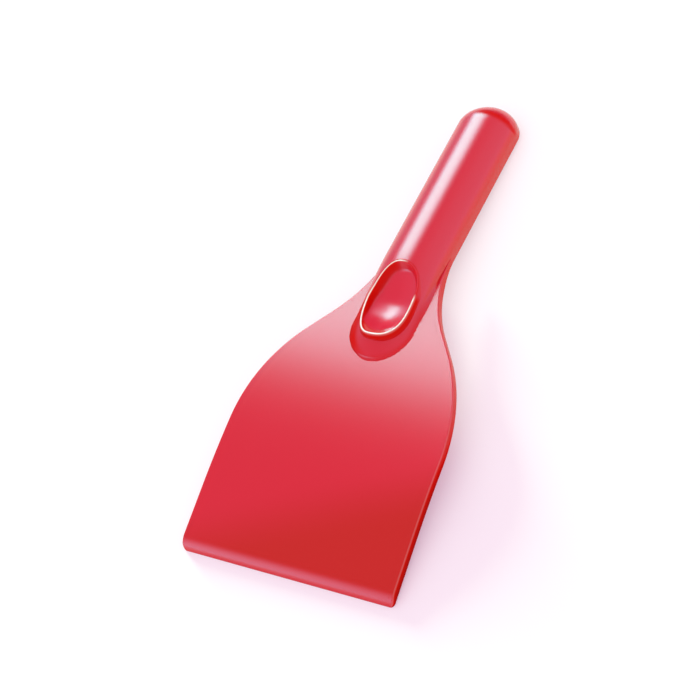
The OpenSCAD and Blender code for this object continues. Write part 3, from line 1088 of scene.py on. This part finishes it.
# %% [markdown]
# ## The plastics
#
# Polypropylene takes the finish of the steel it is moulded against. The handle's half of the mould is
# polished, so the handle has a clear shine with a sharp highlight. The blade's half is finely blasted, so
# its sheen is wide and soft, with hardly any clear shine.
#
# Red polypropylene is a little translucent. Subsurface scattering would show it, but on walls of three
# millimetres it washes out the small forms and is slow to draw, so light and shade are painted into the
# colour instead. Face on the plastic is crimson. Steep walls, by the way they face, and marked ones are
# painted a deeper, warmer red, a painted glow of light from behind, and the foot of the side walls has
# painted shade. The lower right of the blade is darker with painted shade. The floor of the dish is
# painted brighter against the shade of its walls, and the rim's crest has a painted highlight, nearly
# white. The same mark also lowers the shine, a painted loss of reflection.

# %% The reds, and the lengths over which painted shade darkens the blade, in metres
# Crimson is the plastic's own colour. The others paint light and shade: a brighter red for painted light on
# the dish's floor, a deeper red for painted glow, a darker red for painted shade at the blade's lower right,
# a shadow red for painted shade at the foot of the side walls, and a near white for painted highlights.
crimson, painted_floor_red, painted_glow_red, painted_shade_red = "e01630", "ec1a3c", "d80a00", "ce1002"
shadow_red, painted_crest_highlight = "961c1e", "ffe6dc"
# Where painted shade darkens the blade's lower right, and where it fades out on the roll of the edge.
corner_way, corner_from, corner_full = (0.42, -1, 0), 0.070, 0.0977
roll_full_y, roll_off_y, roll_share = -0.103, -0.1065, 0.25


def painted_corner_shade(tree, place, corner_shade_amount):
    """Painted shade: a smooth step along a slanting way towards the corner, less on the roll of the edge."""
    along = add(tree, "ShaderNodeVectorMath", {0: place, 1: corner_way}, "Value", operation="DOT_PRODUCT")
    near_corner = add(tree, "ShaderNodeMapRange", {
        "Value": along, "From Min": corner_from, "From Max": corner_full, "To Min": 0.0, "To Max": corner_shade_amount,
    }, interpolation_type="SMOOTHSTEP")
    y = add(tree, "ShaderNodeSeparateXYZ", {"Vector": place}, "Y")
    off_roll = add(tree, "ShaderNodeMapRange", {
        "Value": y, "From Min": roll_off_y, "From Max": roll_full_y, "To Min": roll_share, "To Max": 1.0,
    }, interpolation_type="SMOOTHSTEP")
    return add(tree, "ShaderNodeMath", {0: near_corner, 1: off_roll}, operation="MULTIPLY")


# %% Moulded red polypropylene
ior, coat_ior = 1.49, 1.5
mirror_level, mirror_loss, coat_loss = 0.5, 0.9, 0.95
steep_from, steep_full = 0.55, 0.15


def polypropylene(name, roughness, coat, grain_mm, grain_depth_mm, corner_shade_amount):
    """The reds mixed by marks and steepness, which paint light and shade, under the skin that the mould
    leaves. The grain is noise with one cell per grain_mm. The last argument is how much painted shade
    darkens the lower right corner."""
    made = bpy.data.materials.new(name)
    tree = empty_tree(made)
    place = add(tree, "ShaderNodeTexCoord", give="Object")
    through, crest, painted_floor_light = (
        add(tree, "ShaderNodeAttribute", give="Fac", attribute_name=mark) for mark in marks)
    # Steep walls, by the way they face, get the painted glow as marked ones do; past one the mark is painted
    # shade at the foot of the side walls.
    facing = add(tree, "ShaderNodeNewGeometry", give="Normal")
    upward = add(tree, "ShaderNodeSeparateXYZ", {"Vector": facing}, "Z")
    steep = add(tree, "ShaderNodeMapRange", {"Value": upward, "From Min": steep_from, "From Max": steep_full},
                interpolation_type="SMOOTHSTEP")
    deep = add(tree, "ShaderNodeMath", {0: steep, 1: through}, operation="MAXIMUM")
    lowest = add(tree, "ShaderNodeMath", {0: through, 1: 1.0}, operation="SUBTRACT")

    layers = [(painted_floor_light, painted_floor_red), (deep, painted_glow_red)]
    if corner_shade_amount:
        layers.append((painted_corner_shade(tree, place, corner_shade_amount), painted_shade_red))
    body = colour(crimson)
    for amount, red in (*layers, (lowest, shadow_red), (crest, painted_crest_highlight)):
        mixed = {"Factor": amount, 6: body, 7: colour(red)}
        body = add(tree, "ShaderNodeMix", mixed, give=2, data_type="RGBA")

    # The mark also lowers the shine and the clear coat: a painted loss of reflection.
    mirror, clear = (
        add(tree, "ShaderNodeMath", {0: through, 1: -loss * level, 2: level},
            operation="MULTIPLY_ADD", use_clamp=True)
        for level, loss in ((mirror_level, mirror_loss), (coat, coat_loss)))
    grain = add(tree, "ShaderNodeTexNoise", {"Vector": place, "Scale": 1000 / grain_mm, "Detail": 2.0})
    bump = add(tree, "ShaderNodeBump", {"Height": grain, "Distance": grain_depth_mm / 1000, "Strength": 1.0})
    skin = add(tree, "ShaderNodeBsdfPrincipled", {
        "Base Color": body, "Roughness": roughness, "IOR": ior, "Specular IOR Level": mirror,
        "Coat Weight": clear, "Coat Roughness": roughness, "Coat IOR": coat_ior, "Normal": bump,
    })
    add(tree, "ShaderNodeOutputMaterial", {"Surface": skin}, give=None)
    return made


# %% [markdown]
# The four ribs in the hollow of the handle stay as the frame has them, so they have no marks, and an
# attribute that isn't there reads as nought.

# %% The two finishes, and which piece has which
gloss = polypropylene("polished_mould_polypropylene", roughness=0.25, coat=0.52,
                      grain_mm=0.6, grain_depth_mm=0.001, corner_shade_amount=0)
satin = polypropylene("satin_mould_polypropylene", roughness=0.27, coat=0.1,
                      grain_mm=0.35, grain_depth_mm=0.003, corner_shade_amount=0.9)
blade_pieces = (panel, right_rim, left_rim, edge_skin)
for piece in (grip, cap, housing, dish, ring):
    piece.data.materials.append(gloss)
for piece in blade_pieces:
    piece.data.materials.append(satin)
ribs = [node for name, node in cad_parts.items() if name.startswith("handle_rib")]
for rib in ribs:
    for slot in rib.material_slots:
        slot.material = gloss
print("ribs with the handle's finish:", len(ribs))

# %% [markdown]
# ## The shadow on the floor
#
# Red plastic lets red light through, so the shadow beside the blade is pink. Light traced through the
# plastic would be slow and noisy. Instead a low soft lamp, a little green, lights only the floor, and
# only the blade keeps it off: what is left there is pink. The floor's glow is lower by the same amount,
# so the open floor stays white.

# %% The lamp that lights the floor only
lamp_softness = math.radians(14)
sun = bpy.data.lights.new("floor_lamp", "SUN")
needed = lamp_share * math.pi / (seen_white[0] * -lamp_way.z)
sun.energy, sun.color, sun.angle = needed.max(), needed / needed.max(), lamp_softness
lamp = placed("floor_lamp", sun)
lamp.rotation_euler = lamp_way.to_track_quat("-Z", "Y").to_euler()

lit_floor, shading_blade = (bpy.data.collections.new(name) for name in ("lit_floor", "shading_blade"))
lit_floor.objects.link(floor)
for piece in blade_pieces:
    shading_blade.objects.link(piece)
lamp.light_linking.receiver_collection = lit_floor
lamp.light_linking.blocker_collection = shading_blade
print("floor lamp", round(sun.energy, 2), "W/m2, colour", [round(v, 2) for v in sun.color])
